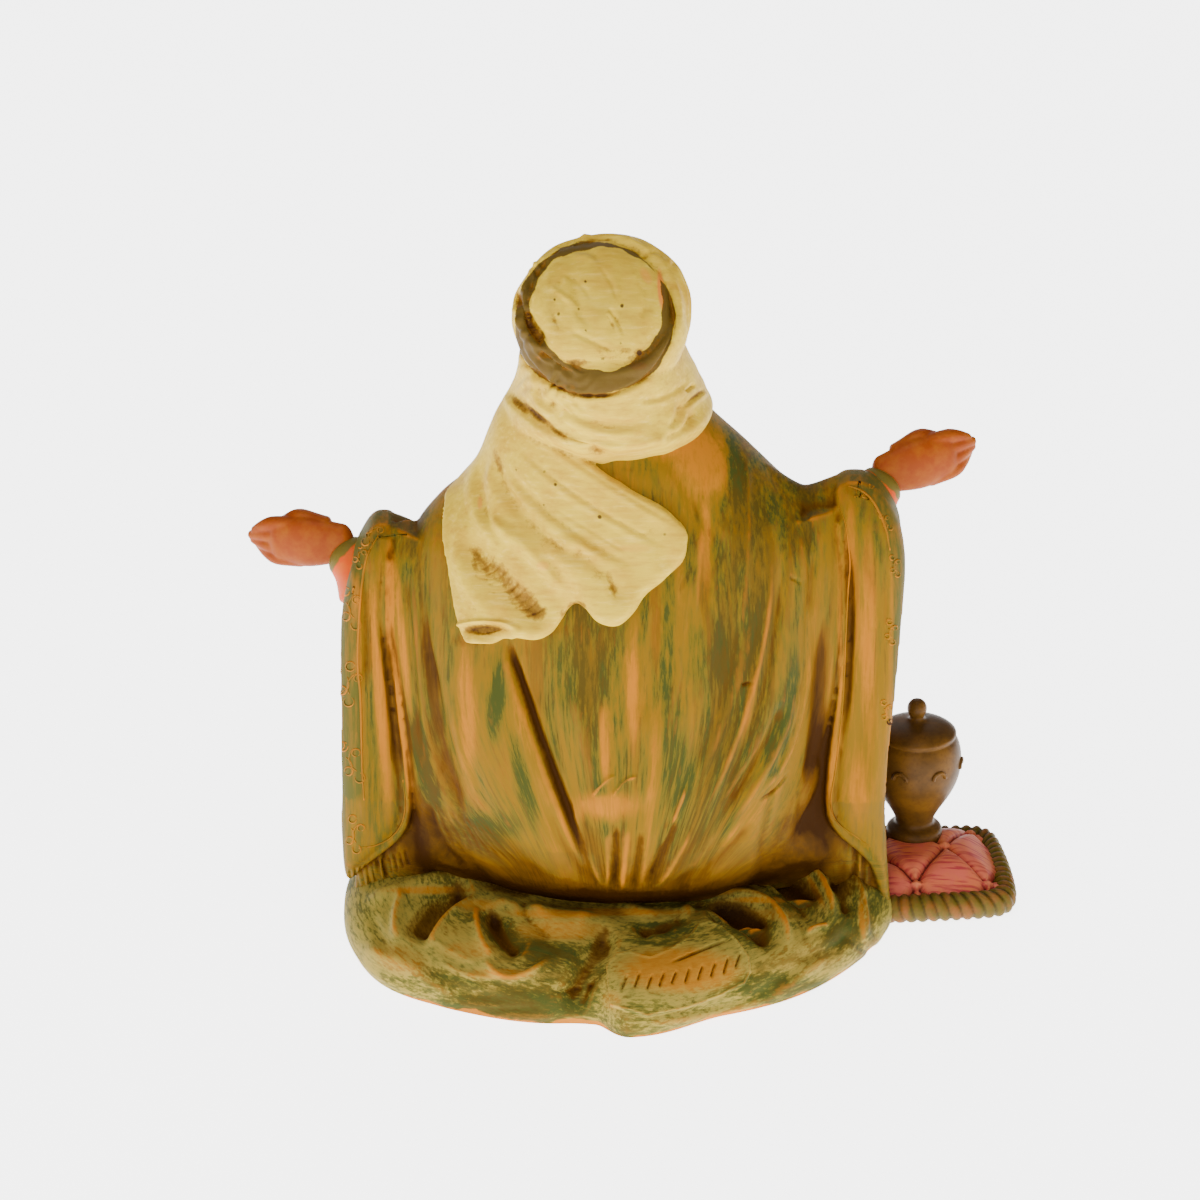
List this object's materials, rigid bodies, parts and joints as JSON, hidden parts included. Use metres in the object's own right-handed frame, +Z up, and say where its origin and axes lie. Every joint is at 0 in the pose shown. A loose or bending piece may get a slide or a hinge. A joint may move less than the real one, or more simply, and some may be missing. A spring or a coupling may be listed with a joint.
{
  "type": "nativity figure",
  "caption": "Kneeling robed king with open arms beside a jar on a cushion, a painted moulding for a nativity scene.",
  "frame": {"origin": "on the flat underside, under the middle of the robe", "axes": "+Z up; -Y the way the figure faces, so its back is on the +Y side; +X towards the figure's left hand, with the cushion and jar on the -X side"},
  "size_m": [0.1004, 0.0592, 0.0947],
  "materials": {
    "painted_moulding": "hand-painted, satin over matt, with brushed-on glazes and a dark wash in the folds"
  },
  "bodies": {
    "root": {"kneeling_figure": "painted_moulding"}
  },
  "joints": []
}
